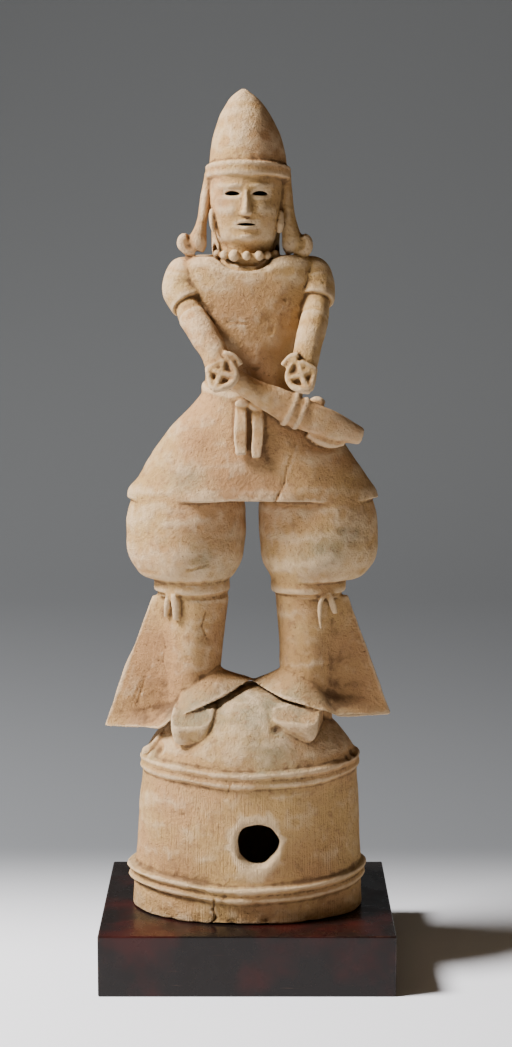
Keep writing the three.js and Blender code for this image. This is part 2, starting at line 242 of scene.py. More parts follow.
# Legs: side is LEFT for the leg at -X and RIGHT for the leg at +X

def leg_x(side):
    """The middle of the knee."""
    return -80.0 if side == LEFT else 89.0


FIN_TIP_X = 213.5
FIN_TOP_X = 140.0
FIN_ROOT_X = 100.0  # where the fin starts, inside the leg
FIN_TOP = 558.0
RIM_SPREAD = 32.0  # how far the rim turns out from the leg
FIN_HALF_THICK = 4.2

# The rim's height by its distance from the middle: it drops from the inner tip over the shoe to the fin
RIMS = {
    LEFT: ([7, 46, 80, 108, 120, 130, 150, 213], [433, 416, 401, 390, 377, 370, 367, 361]),
    RIGHT: ([7, 42, 75, 113, 134, 160, 213], [432, 421, 411, 399, 388, 384, 380]),
}


def fin_top_x(side):
    """How far out the fin's straight edge starts, below the knee."""
    return FIN_TOP_X if side == LEFT else FIN_TOP_X + 9


def leg_tube(side, share):
    """Middle and radius of the trouser leg's tube, by the share of the way up from the rim to the knee."""
    if side == LEFT:
        return -86.5 + 11.5 * share, 38 + 10.5 * share
    return 91.2 - 4.7 * share, 36.2 + 6.8 * share


def trouser_surface(side, inset, rows, top):
    """The trouser leg below the knee: a round tube pinched to a fin on its outer side (the outward cosine
    to a high power), with a flange that turns out near the rim as (1 - height / reach)^1.4, deepest in
    front and widest on the leg's inner side."""
    sharp = 20 if side == LEFT else 14
    turn = turns(240)[None]
    outward = side * np.cos(turn)
    front = np.maximum(-np.sin(turn), 0)
    pinch = np.maximum(outward, 0) ** sharp
    low_x, low_radius = leg_tube(side, 0.0)
    spread = low_radius + RIM_SPREAD
    inward = (20 if side == LEFT else 14) * np.maximum(-outward, 0) ** 2
    rim_x = low_x + side * ((spread + inward) * outward + pinch * (FIN_TIP_X - abs(low_x) - spread))
    rim_z = np.interp(np.abs(rim_x), *RIMS[side]) - 0.25 * inset
    rise = np.linspace(0, 1, rows)[:, None]
    z = rim_z + (top - rim_z) * rise**1.6
    middle, tube = leg_tube(side, np.clip((z - 380) / 180, 0, 1))
    reach = 18 + 15 * front + 3 * np.maximum(outward, 0)
    curl = np.clip(1 - (z - rim_z) / reach, 0, 1) ** 1.4
    radius = tube - inset * (1 - 0.45 * curl) + (RIM_SPREAD + inward) * curl * (1 + 0.12 * front)
    share = (z - rim_z) / (FIN_TOP - rim_z)
    fin_x = FIN_TIP_X + (fin_top_x(side) - FIN_TIP_X) * share - inset
    across = radius * outward + pinch * np.maximum(0, fin_x - np.abs(middle) - radius)
    inner = np.where(outward < 0, np.abs(np.sin(turn)) ** (0.5 * curl), 1.0)
    y = AXIS_Y + (radius - 2) * np.sin(turn) * inner
    return np.stack([middle + side * across, y, z], -1)


def trouser(side):
    """The outer surface down to the rim, and the inner one back up inside it."""
    outer = trouser_surface(side, 0, 130, FIN_TOP)[::-1]
    inner = trouser_surface(side, 7.0, 50, 440.0)
    return np.concatenate([outer, inner])


def fin(side):
    """The sheet of clay that stiffens the outer side: level slabs, thinner towards the rim, that end at a
    straight edge."""
    rise = np.linspace(0, 1, 60)[:, None]
    turn = turns(60)[None]
    rim = np.interp(FIN_TIP_X, *RIMS[side])
    height = rim + 1 + (FIN_TOP - rim) * rise
    tip = FIN_TIP_X + (fin_top_x(side) - FIN_TIP_X) * rise
    x = side * (tip + FIN_ROOT_X) / 2 + (tip - FIN_ROOT_X) / 2 * bent(np.cos(turn), 0.25)
    y = AXIS_Y - 1 + FIN_HALF_THICK * (0.75 + 0.25 * rise) * bent(np.sin(turn), 0.5)
    low = np.interp(np.abs(x), *RIMS[side]) + (height - rim)
    return np.stack([x, y, low * (1 - rise) + height * rise], -1)


def shin(side, inset=0.0):
    """The body of the leg inside the trouser, from the dome to the knee: round sections that widen
    upwards."""
    low_x, low_radius = leg_tube(side, 0.0)
    top_x, top_radius = leg_tube(side, 1.0)
    mean_radius = (low_radius + top_radius) / 2
    stations = [
        [low_x, AXIS_Y + 4, 330, low_radius - 1, low_radius - 3],
        [low_x, AXIS_Y + 2, 420, low_radius - 1, low_radius - 2],
        [(low_x + top_x) / 2, AXIS_Y, 500, mean_radius - 1, mean_radius - 2],
        [top_x, AXIS_Y + 2, KNEE, top_radius, top_radius - 1],
    ]
    return level(stations, 50, 80, inset=inset)


def thigh(side, inset=0.0):
    """The balloon of the trousers above the knee: oval sections, widest a third of the way up."""
    x = -90.5 if side == LEFT else 105
    stations = [
        [leg_x(side) + side, AXIS_Y + 2, 583.5, 55, 52],
        [x - side * 5, AXIS_Y + 3, 587, 65, 58],
        [x - side * 2, AXIS_Y + 4, 601, 77, 66],
        [x, AXIS_Y + 5, 648, 88, 72],
        [x - side * 3, AXIS_Y + 5, 705, 81.5, 70],
        [x - side * 12, AXIS_Y + 4, 752, 56, 52],
    ]
    return level(stations, 90, 120, inset=inset)


KNEE_BAND = [[566, -5], [567, -1], [568.5, 0], [572, 0.6], [578, 0.6], [582, 0], [583, -2], [584, -6]]


def knee(side):
    """The flat band tied round the knee, the core inside it, and the band's two hanging ends."""
    x = leg_x(side) + 2 * side
    y = AXIS_Y + 2
    wide = 56.5 if side == LEFT else 54
    band = [[x, y, z, wide + out, wide - 3 + out] for z, out in KNEE_BAND]
    core = [[x, y, 560, wide - 6, wide - 9], [x, y, 600, wide - 4, wide - 6]]
    if side == LEFT:
        ends = [
            [[-114, -58, 568, 5, 4], [-117, -54, 550, 5, 4], [-120, -48, 531, 3.5, 3]],
            [[-106, -64, 568, 6, 4], [-104, -63, 548, 6, 4.5], [-104, -61, 529, 4.5, 3.5]],
        ]
    else:
        ends = [
            [[117, -60, 570, 4, 4], [109, -64, 560, 4.5, 4], [106, -65, 540, 4, 4], [108, -62, 516, 3, 3]],
            [[119, -59, 569, 5, 4], [124, -56, 555, 5, 4], [129, -50, 537, 3.5, 3]],
        ]
    return [level(band, 30, 100), level(core, 8, 60)] + [limb(end, 24, 20) for end in ends]


SHOE_Y = -77.0
SHOE_HALF_LONG = 33.0

# For each shoe: its left and right edges at the toe, how far each moves towards the heel, the top's height,
# how it climbs to the hem and how it leans sideways
SHOES = {
    LEFT: (-112, -51, 4, 10, 377.0, 0.90, 0.08),
    RIGHT: (34, 104, 5, 12, 387.0, 0.80, -0.07),
}


def shoe(side):
    """A blunt slab under the hem: a rounded plan drawn down from a top that climbs to the hem, its sides
    leaning in; the plan is about the superellipse x^7 + y^7 = 1, a little wider at the heel."""
    turn = turns(96)[None]
    share = np.concatenate([np.ones(8), [0.86, 0.6, 0.35, 0.12]])[:, None]
    depth = np.concatenate([[27.0, 24.0, 19.0, 11.0, 3.0, 1.3, 0.4, 0.0], np.zeros(4)])[:, None]
    inward = np.concatenate([[7.0, 4.0, 2.0, 0.6, 0.0, 0.3, 1.0, 2.0], np.full(4, 2.0)])[:, None]
    u = share * bent(np.cos(turn), 0.28)
    v = share * bent(np.sin(turn), 0.28)
    back = 0.5 + 0.5 * v
    toe_left, toe_right, left_shift, right_shift, top, climb, lean = SHOES[side]
    left = toe_left + left_shift * back
    right = toe_right + right_shift * back
    y = SHOE_Y + SHOE_HALF_LONG * v + 3.5 * (1 - back) ** 2 * u**4
    x = (left + right) / 2 + (right - left) / 2 * u
    ceiling = top + climb * np.minimum(y + 110, 27) + lean * (x - left.min())
    middle = x.mean()
    x = middle + (x - middle) * (1 - inward / 34)
    y = SHOE_Y + (y - SHOE_Y) * (1 - inward / 44)
    return np.stack([x, y, ceiling - depth * (1 + 1.2 * back)], -1)


# Skirt, torso and belt

def coat():
    """Skirt and torso: nearly oval sections that narrow from the hem to the waist and widen to the
    shoulders. The hem lifts by 3.5 mm in the middle, as a bell curve in x, and the collar dips by 15 mm at
    the throat."""
    stations = [
        [8.8, AXIS_Y + 6, HEM, 185, 86],
        [7.5, AXIS_Y + 5.6, HEM + 12, 182, 85],
        [8.2, AXIS_Y + 5, 734, 169, 81],
        [7, AXIS_Y + 4.5, 759, 153, 77],
        [6, AXIS_Y + 4, 786, 134, 72],
        [4, AXIS_Y + 3, 811, 114, 66],
        [4, AXIS_Y + 1, 838, 87, 58],
        [6, AXIS_Y, 858, 72, 53],
        [7, AXIS_Y, 885, 66, 48],
        [5, AXIS_Y, 940, 81, 47],
        [3, AXIS_Y, 1000, 101, 46],
        [2, AXIS_Y, 1034, 104, 45],
        [2, AXIS_Y, 1052, 94, 42],
        [2, AXIS_Y, 1058, 84, 37],
    ]
    rings = level(stations, rows=170, sides=220, roundness=2.1)
    middle = np.exp(-(((rings[..., 0] - 4) / 90) ** 2))
    rings[..., 2] += 3.5 * middle * smooth_step(rings[..., 2], HEM + 40, HEM)
    throat = np.exp(-(((rings[..., 0] + 2) / 42) ** 4)) * smooth_step(-rings[..., 1], 20, 52)
    rings[..., 2] -= 15 * throat * smooth_step(rings[..., 2], 1026, 1056)
    return rings


def belt():
    """A soft roll of clay round the waist, lower in front, under the sword."""
    return oval_pipe([8, AXIS_Y, 862], [70, 53], [4, 9], [-3, 8], 160, 20)


def belt_ties():
    """Two flat strips hang from the belt; the folded bow above them lies across the front."""
    drops = [
        [[-9, -74, 848, 7, 3.5], [-9, -85, 822, 9.5, 4], [-9, -92, 798, 10, 4], [-8, -98, 776, 7.5, 3.5]],
        [[15, -74, 842, 7, 3.5], [16, -85, 815, 9, 4], [15, -92, 793, 9.5, 4], [14, -98, 771, 7, 3.5]],
    ]
    bow = [lump([-7, -80, 848], [11, 6, 6]), lump([14, -81, 845], [12, 6, 7])]
    return [limb(drop, 40, 28, (0, -1, -0.3), 4.5) for drop in drops] + bow


# Arms, hands and sword

def arms():
    """Each arm is a sleeve, a thinner forearm and a gauntlet that thickens it: oval sections along a bent
    path, with an egg of clay for each shoulder."""
    front = (0, -1, 0.4)
    sleeves = [
        [[-87, -17, 1040, 26, 27], [-92.5, -19, 1024, 30.5, 31], [-95, -27, 1008, 29.5, 29],
         [-89, -36, 996, 27.5, 27], [-84, -42, 988, 26.5, 26]],
        [[90, -16, 1040, 26, 27], [94, -18, 1024, 30.5, 31], [99, -25, 1010, 29, 29],
         [100, -32, 1001, 27.5, 27], [99, -37, 994, 26.5, 26]],
    ]
    forearms = [
        [[-90, -32, 1002, 17, 17], [-83, -48, 982, 19, 19], [-77, -59, 970, 19.5, 19]],
        [[100, -28, 1008, 17, 17], [99.5, -46, 985, 18.5, 18], [98.5, -57, 970, 19, 19]],
    ]
    gauntlets = [
        [[-78, -58, 972, 20.5, 20], [-69, -71, 959, 20.5, 21], [-51, -90, 931, 20, 20],
         [-40, -101, 908, 20, 17], [-35, -107, 893, 19.5, 13]],
        [[98, -57, 970, 20, 20], [95.5, -63, 961, 20, 20.5], [89, -80, 936, 19.5, 20],
         [81.5, -95, 908, 19.5, 17], [77, -103, 893, 19.5, 13]],
    ]
    rolls = [limb(path, 50, 48, front) for path in sleeves + forearms + gauntlets]
    shoulders = [lump([-91, -19, 1024], [30.5, 30, 33], 0.9), lump([94, -17, 1024], [31, 30, 33], 0.9)]
    return rolls + shoulders


def hand(x, z, side):
    """An open hand of rolled clay: a loop of the fingers, strips crossing inside it, and the thumb, on an
    egg for the palm; side mirrors it."""
    y = -119.0
    strips = [
        [[6, 24], [13, 15], [17.5, 5], [18, -5], [12, -14], [0, -19], [-13, -21]],
        [[2, 20], [-2, 0], [-10, -19]],
        [[-19, 9], [-2, 2], [17, -4]],
        [[0, 20], [-9, 14], [-19, 9]],
        [[-20, 10], [-18, -4], [-13, -20]],
        [[2, 29], [12, 27], [21, 20], [26, 13]],
    ]
    rolls = []
    for strip in strips:
        u, v = np.array(strip, float).T
        lie = y + 0.25 * v + 0.010 * u**2
        size = np.full(len(u), 4.8)
        rolls.append(limb(np.stack([x - side * u, lie, z + v, size, size], 1), 36, 16, (0.02, -1, 0.05)))
    palm = lump([x, y + 11, z + 1], [18.5, 9, 22])
    return [palm] + rolls


def sword():
    """Hilt and scabbard are flat tapering rolls with two collars where they meet, and the knot and fold of
    the sling above and below; the chape end is square."""
    hilt = [[66, -83, 838, 23, 15], [44, -86, 850, 20, 15], [22, -89, 861, 17, 14], [0, -93, 873, 14.5, 14],
            [-19, -97, 885, 13, 13]]
    scabbard = [[165, -63, 799.5, 12, 10], [150, -68, 805, 15, 12], [128, -74, 814, 19, 13],
                [100, -79, 825, 21, 14], [66, -84, 838, 22, 14]]
    collars = [
        [[66, -83, 838, 24, 16], [62, -83.5, 840, 26, 17.5], [58, -84, 842, 24, 16]],
        [[81, -81, 832, 23.5, 15], [77, -82, 834, 25.5, 17], [73, -82.5, 836, 23.5, 15]],
    ]
    pieces = [limb(hilt, 40, 40), limb(scabbard, 40, 40, roundness=2.6)]
    pieces += [limb(collar, 14, 40) for collar in collars]
    above = [[94, -68, 846, 8, 9], [102, -67, 850, 8, 9], [110, -66, 845, 6, 7]]
    below = [[140, -64, 793, 7, 6], [124, -67, 793, 10, 8], [106, -72, 799, 11, 8], [90, -76, 808, 8, 6]]
    return pieces + [limb(above, 20, 20), lump([92, -72, 842], [11, 12, 9]), limb(below, 30, 20)]


# Head, cap and hair

EYE_X = 20.0
EYE_Z = 1146.0
EYE_HALF_WIDE = 10.5
MOUTH_Z = 1103.0
MOUTH_HALF_WIDE = 12.0
NOSE_FOOT = 1117.0
BROW_Z = 1158.0

# The face is plain: eyes at half the head's height, one eye's width apart, the nose's foot halfway from
# brow to chin, the mouth a third of the way from there to the chin. Each mound is [x, z, half width, half
# height, proud].
MOUNDS = [
    [EYE_X, BROW_Z, 14, 3.8, 4.2], [EYE_X, EYE_Z, 12, 6.5, -3.4], [25, 1124, 14, 10.0, 3.2],
    [0, 1084, 13, 7.0, 5.0], [0, MOUTH_Z + 5, 10, 2.8, 3.0], [0, MOUTH_Z - 5.5, 9, 3.0, 3.2],
    [0, 1112, 3, 4.0, -0.8], [EYE_X + 2, EYE_Z - 5, 9, 2.2, 1.6], [0, 1093, 10, 3.2, -1.6],
]


def head(inset=0.0):
    """The neck swells to the jaw and face; bell-shaped mounds pushed forward from its front form the
    features."""
    stations = [
        [HEAD_X, HEAD_Y, 1028, 39, 37],
        [HEAD_X, HEAD_Y + 1, 1064, 38, 37],
        [HEAD_X, HEAD_Y, 1074, 39, 39],
        [HEAD_X, HEAD_Y - 3, 1082, 42, 44],
        [HEAD_X, HEAD_Y - 4, 1094, 46, 47],
        [HEAD_X, HEAD_Y - 4, 1115, 49.5, 50],
        [HEAD_X, HEAD_Y - 3, 1145, 52, 51],
        [HEAD_X + 1, HEAD_Y, BAND, 56, 54],
    ]
    rings = level(stations, 130, 160, 2.15, inset)
    if inset:
        return rings
    x = np.abs(rings[..., 0] - HEAD_X)[..., None]
    z = rings[..., 2][..., None]
    mounds = np.array(MOUNDS)
    across = ((x - mounds[:, 0]) / mounds[:, 2]) ** 2
    up = ((z - mounds[:, 1]) / mounds[:, 3]) ** 2
    push = mounds[:, 4] * np.exp(-across - up)
    front = smooth_step(-(rings[..., 1] - HEAD_Y), 8, 30)
    rings[..., 1] -= push.sum(-1) * front
    return rings


def nose():
    """A wedge whose ridge runs from the brow to a rounded tip; its section is a soft diamond."""
    x = HEAD_X
    stations = [[x, -61, BROW_Z + 4, 4.5, 6], [x, -63, 1150, 5, 8], [x, -64, 1136, 7, 12.5],
                [x, -64, 1124, 9.5, 17], [x, -64, 1119, 10.5, 17.5], [x, -63, NOSE_FOOT - 1.5, 9, 13]]
    return level(stations, 50, 48, 1.55)


def cap(inset=0.0):
    """A tall rounded cone that leans a little: round sections whose middles move to -X with height."""
    stations = [
        [2, HEAD_Y, BAND - 4, 57.5, 56],
        [1, HEAD_Y, 1205, 55.5, 54],
        [-2, HEAD_Y, 1243, 44, 44],
        [-4.2, HEAD_Y, 1270, 29, 29],
        [-4.5, HEAD_Y, 1287, 14.5, 14],
        [-4.5, HEAD_Y, TIP, 4, 4],
    ]
    step = np.array([[0, 0, 0, inset, inset]] * 5 + [[0, 0, inset, 2, 2]], float)
    return level(np.array(stations) - step, rows=90, sides=140)


def cap_band():
    """A flat band round the cap, rolled at both edges; it drops by 0.12 of the way back, so its front is
    higher."""
    turn = turns(160)[None]
    across = np.array([-10.5, -9.5, -7, -3, 0, 3, 7, 9.5, 10.5])[:, None]
    proud = np.array([-3, 1.2, 2.8, 2.4, 2.2, 2.4, 3.2, 1.8, -3])[:, None]
    y = HEAD_Y + (57.5 + proud) * np.sin(turn)
    z = BAND + across - 0.12 * (y - HEAD_Y) - 1.2 * np.cos(turn - 0.5)
    return np.stack([1.5 + (60 + proud) * np.cos(turn), y, z], -1)


def hair(side):
    """A hair lock hangs from the band beside the face and rolls up at the shoulder, and an ear drop hangs
    inside it: oval sections along bent paths."""
    if side == LEFT:
        lock = [[-55.5, -15, 1176, 6.5, 12], [-58, -17, 1152, 6.5, 12], [-61, -20, 1130, 6.5, 13],
                [-65, -24, 1106, 8, 13], [-69, -27, 1088, 12, 13], [-73, -29, 1074, 15.5, 12],
                [-76, -30, 1066, 14, 9]]
        curl = [[-74, -30, 1064, 8, 9], [-86, -31, 1066, 8.5, 10], [-93, -31, 1073, 9, 10],
                [-90, -31, 1083, 8.5, 9], [-85, -32, 1085, 6, 8]]
        drop = [[-50, -38, 1124, 2.5, 4], [-51, -41, 1113, 4, 5], [-50, -43, 1103, 4.5, 5.5],
                [-48, -42, 1092, 3, 4]]
    else:
        lock = [[55.5, -15, 1176, 9.5, 12], [56, -17, 1152, 9.5, 12], [57.5, -20, 1130, 10, 13],
                [60.5, -24, 1106, 11, 13], [64, -27, 1088, 13.5, 13], [68, -29, 1074, 16, 12],
                [71, -30, 1065, 14, 9]]
        curl = [[70, -30, 1064, 8, 9], [80, -31, 1064, 8.5, 10], [86, -31, 1070, 8.5, 10],
                [85, -31, 1082, 8, 9], [80, -32, 1086, 6, 8]]
        drop = [[49, -38, 1122, 2.5, 4], [49.5, -41, 1111, 3.8, 5], [48.5, -43, 1101, 4, 5.5],
                [46.5, -42, 1091, 3, 4]]
    knob = lump([-87, -31, 1075] if side == LEFT else [80, -31, 1074], [8, 9, 9])
    return [limb(lock, 60, 36), limb(curl, 40, 30), knob, limb(drop, 30, 20)]


def nape():
    """Hair behind the neck, between the side locks, hanging from the band to the shoulders: squarish
    sections."""
    stations = [[HEAD_X, 12, 1046, 47, 22], [HEAD_X, 13, 1090, 51, 23], [HEAD_X, 8, 1130, 54, 26],
                [HEAD_X, 4, 1168, 54, 32]]
    return level(stations, 40, 80, 2.4)


NECKLACE_Z = 1060.0
NECKLACE_REACH = 41.0
# Each bead's place round the neck in degrees, and its radius
BEADS = [(-158, 6.0), (-133, 6.4), (-112, 8.0), (-89, 6.2), (-66, 6.8), (-48, 5.6), (-24, 6.0)]


def necklace():
    """A rolled cord round the neck's foot, lower in front, and seven uneven beads on its front and sides."""
    reach = NECKLACE_REACH
    ring = oval_pipe([HEAD_X, HEAD_Y, NECKLACE_Z], [reach, reach], [4.2, 4.5], [0, 2.52], 120, 20)
    beads = []
    for degrees, size in BEADS:
        way = math.radians(degrees)
        x = HEAD_X + (NECKLACE_REACH + 5) * math.cos(way)
        y = HEAD_Y + (NECKLACE_REACH + 5) * math.sin(way)
        beads.append(lump([x, y, NECKLACE_Z + 1 + 2.5 * math.sin(way)], [size, size, size * 1.1]))
    return ring, beads


def collar_gap():
    """The room between the neck and the coat's collar: it dips 10 mm in front, and behind it rises as much
    and runs into the hair."""
    return oval_pipe([HEAD_X, HEAD_Y, 1058], [48.5, 46.5], [5.5, 12], [0, 10], 120, 24)


def clay_surfaces():
    """Every part of the clay but the belt and the necklace, as rings."""
    surfaces = [lip(), drum(), coat(), head(), nape(), nose(), cap(), cap_band()]
    surfaces += arms() + hand(-35, 893, LEFT) + hand(76, 891, RIGHT) + sword() + belt_ties()
    for side in (LEFT, RIGHT):
        surfaces += [trouser(side), fin(side), shin(side), thigh(side), shoe(side)]
        surfaces += knee(side) + hair(side)
    return surfaces


def hollow_surfaces(wall):
    """The room inside the clay: each part is about the wall's thickness within the outer surface, and the
    drum is open below."""
    climb = np.sin(np.linspace(0.05, 1, 16) * math.pi / 2) * 0.999
    wide = (1 - climb**1.7) ** (1 / 1.7)
    deep = (1 - climb**2.4) ** (1 / 2.4)
    half = DRUM_TOP_HALF - wall
    room = [[0, AXIS_Y, DRUM_FOOT - 15, DRUM_HALF - wall, (DRUM_HALF - wall) * OVAL],
            [4, AXIS_Y, DOME_FOOT, half, half * OVAL]]
    lift = (DOME_TOP - DOME_FOOT - wall) * climb
    dome = np.stack([0 * climb + 4, 0 * climb + AXIS_Y, DOME_FOOT + lift, half * wide, half * OVAL * deep], 1)
    torso = [[0, AXIS_Y, 735, 88, 40], [8, AXIS_Y, 800, 80, 48], [8, AXIS_Y, 870, 52, 37],
             [3, AXIS_Y, 1000, 82, 36], [2, AXIS_Y, 1040, 60, 28]]
    surfaces = [level(room, 10, 90), level(dome, 24, 90), level(torso, 40, 80), head(wall), cap(wall)]
    for side in (LEFT, RIGHT):
        surfaces += [shin(side, wall), thigh(side, wall)]
    return surfaces


def slit(x, z, half_width, half_height, arch):
    """A hand-cut slit: an almond section swept back through the clay, opening a little at the surface."""
    turn = turns(40)[None]
    y = np.array([-85.0, -68.0, -60.0, -22.0])[:, None]
    flare = np.array([1.5, 1.14, 1.0, 0.95])[:, None]
    u = np.cos(turn)
    across = half_width * flare * u
    up = half_height * flare * bent(np.sin(turn), 1.2) + arch * (1 - u**2)
    return np.stack([x + across, np.broadcast_to(y, across.shape), z + up], -1)


HOLE_X = 16.0
HOLE_Z = 210.0
HOLE_FACE = 113.5  # from the drum's axis to its outer face at the hole


def drum_hole(side, wall):
    """A hole cut with a knife from outside: an uneven round that widens at the outer face."""
    turn = turns(64)[None]
    deep = np.array([-45.0, -wall, -wall * 0.45, 0.0, 30.0])[:, None]
    flare = np.array([28.5, 28.5, 29.5, 34.0, 46.0])[:, None]
    uneven = 1 + 0.035 * np.sin(3 * turn + 0.7) + 0.02 * np.sin(5 * turn + 2) + 0.012 * np.sin(9 * turn)
    edge = AXIS_Y + side * (HOLE_FACE + deep)
    x = HOLE_X + 1.04 * flare * uneven * np.cos(turn)
    z = HOLE_Z + flare * uneven * np.sin(turn)
    return np.stack([x, np.broadcast_to(edge, x.shape), z], -1)


# Mesh work

def object_from(name, points, faces):
    """A new object in the scene, from points in millimetres."""
    mesh = bpy.data.meshes.new(name)
    mesh.from_pydata((points * MM).tolist(), [], faces.tolist())
    mesh.validate()
    made = bpy.data.objects.new(name, mesh)
    bpy.context.scene.collection.objects.link(made)
    return made


def settle(made):
    """Turns an object's modifiers into its mesh."""
    bpy.context.view_layer.update()
    depsgraph = bpy.context.evaluated_depsgraph_get()
    mesh = bpy.data.meshes.new_from_object(made.evaluated_get(depsgraph))
    made.modifiers.clear()
    old = made.data
    made.data = mesh
    bpy.data.meshes.remove(old)


def remesh(made, size):
    """Fuses an object's overlapping surfaces into one skin of voxels of this size."""
    modifier = made.modifiers.new("Fuse", "REMESH")
    modifier.mode = "VOXEL"
    modifier.voxel_size = size
    settle(made)


def combine(made, other, operation):
    """Joins the other object to this one or takes it out of it, and stops if nothing changed."""
    before = len(made.data.vertices)
    modifier = made.modifiers.new("Combine", "BOOLEAN")
    modifier.operation = operation
    modifier.solver = "MANIFOLD"
    modifier.object = other
    settle(made)
    bpy.data.objects.remove(other)
    if len(made.data.vertices) in (0, before):
        raise RuntimeError(f"{made.name}: {operation.lower()} left the clay as it was")


def rows_of(items, name, kind, width):
    """One value of every item of a mesh, as rows."""
    flat = np.empty(len(items) * width, kind)
    items.foreach_get(name, flat)
    return flat.reshape(-1, width)


def points_of(mesh):
    """A mesh's points in millimetres."""
    return rows_of(mesh.vertices, "co", np.float32, 3).astype(float) / MM


def normals_of(mesh):
    return rows_of(mesh.vertex_normals, "vector", np.float32, 3).astype(float)


def edges_of(mesh):
    return rows_of(mesh.edges, "vertices", np.int32, 2)


def move(mesh, points):
    """Puts a mesh's points at these places in millimetres."""
    mesh.vertices.foreach_set("co", (points * MM).ravel())
    mesh.update()


def relaxed(values, edges, rounds, share=0.5):
    """Each value moved towards the mean of its neighbours along the edges, several times over."""
    count = np.bincount(edges.ravel(), minlength=len(values))[:, None].clip(1)
    for _ in range(rounds):
        columns = [
            np.bincount(edges[:, 0], column[edges[:, 1]], len(values))
            + np.bincount(edges[:, 1], column[edges[:, 0]], len(values))
            for column in values.T
        ]
        values = values + share * (np.stack(columns, 1) / count - values)
    return values


def waves(points, size, random, count=26):
    """Smooth lumps about size millimetres across: sine waves in random directions, added up."""
    way = random.normal(size=(3, count))
    way /= np.linalg.norm(way, axis=0)
    pace = 2 * math.pi / size * random.uniform(0.55, 1.3, count)
    phase = random.uniform(0, 2 * math.pi, count)
    return np.sin(points @ (way * pace) + phase).sum(1) / math.sqrt(count / 2)


# Marks in the clay, each [x, y, z, half size, depth]: dents are deep, a knob has a depth below 0
MARKS = [
    [-150, -50, 330, 9, -5], [-142, -62, 327, 6, -4], [158, -45, 327, 8, 4], [150, -68, 325, 6, 2],
    [-40, -135, 97, 14, 4], [-22, -137, 92, 7, 4], [-72, -130, 95, 8, 2.5], [28, -136, 96, 7, 2.5],
    [95, -121, 95, 9, 2], [-112, -112, 94, 10, 3], [60, -116, 262, 3, 2], [66, -115, 262, 2.5, 2],
    [118, -106, 200, 4, 1.5], [-94, -110, 250, 5, 1.5], [-20, -118, 272, 5, 1.2], [116, -98, 350, 5, 1.5],
    [14, -60, 896, 7, 3.5], [8, -62, 899, 4, 2], [24, -62, 891, 4, 2.5], [-56, -70, 992, 3, 1.6],
    [-134, -86, 740, 3, 2.2], [6, -104, 712, 4, 1.5], [94, -104, 745, 3, 2], [64, -98, 760, 4, 1.2],
    [30, -68, 968, 9, 1.5], [46, -68, 986, 5, 1.5], [36, -66, 952, 4, 1.3], [55, -62, 996, 6, 2],
    [-58, -54, 500, 9, 2.2], [-62, -58, 522, 5, 1.8], [-88, -62, 470, 5, 1.5], [-66, -60, 446, 7, 1.8],
    [-96, -66, 424, 5, 1.5], [86, -62, 470, 6, 1.4], [110, -58, 452, 8, 1.6], [98, -62, 510, 5, 1.4],
    [-132, -70, 338, 8, 4.5], [-128, -36, 462, 9, 1.2], [-150, -28, 420, 7, 0.9], [-160, -28, 400, 5, 0.8],
    [96, -110, 392, 5, 2], [44, -112, 376, 7, 4], [30, -60, 1230, 8, 1.5], [-30, -52, 1222, 9, 1.2],
    [10, -70, 1196, 6, 1.0], [-120, -86, 640, 6, 1.2], [-66, -90, 668, 5, 1.5], [-48, -84, 690, 4, 2],
    [110, -92, 640, 7, 1.5], [136, -84, 664, 5, 1.2], [84, -92, 612, 5, 1.2], [42, -80, 930, 5, 1.2],
]

# Fine cracks and scored lines as short runs of points, with a depth for each
CRACKS = [
    ([[58, -100, 758], [54, -102, 735], [46, -104, 718], [40, -105, 706]], 1.4),
    ([[70, -96, 790], [64, -99, 772], [60, -100, 760]], 1.2),
    ([[-30, -68, 962], [-14, -70, 963], [2, -70, 961]], 0.9),
    ([[-48, -132, 128], [-50, -134, 112], [-46, -136, 100], [-52, -137, 90]], 2.2),
    ([[-60, -58, 540], [-66, -60, 520], [-60, -60, 505]], 1.4),
    ([[-86, -80, 605], [-60, -78, 612]], 1.0),
    ([[-125, -34, 500], [-121, -34, 484], [-125, -34, 462], [-120, -36, 446]], 0.7),
    ([[-150, -30, 440], [-158, -30, 415], [-164, -30, 398]], 0.8),
    ([[-140, -30, 470], [-146, -30, 448]], 0.7),
    ([[-158, -30, 428], [-170, -30, 402]], 0.7),
    ([[112, -60, 1030], [110, -56, 1020]], 1.4),
    ([[-24, -118, 300], [-30, -119, 280]], 0.8),
]


def marked(points, normals):
    """How far each point sinks: bell-shaped dents, and grooves that follow the cracks."""
    sink = np.zeros(len(points))
    for x, y, z, size, depth in MARKS:
        off = ((points - [x, y, z]) ** 2).sum(1) / size**2
        sink += depth * np.exp(-off)
    for line, depth in CRACKS:
        ends = np.array(line, float)
        for start, end in zip(ends[:-1], ends[1:]):
            run = end - start
            share = np.clip((points - start) @ run / (run @ run), 0, 1)[:, None]
            off = ((points - start - share * run) ** 2)[:, [0, 2]].sum(1)
            facing = (np.abs(points[:, 1] - start[1]) < 30) & (normals[:, 1] < 0)
            sink += depth * np.exp(-off / 1.6**2) * facing
    return sink


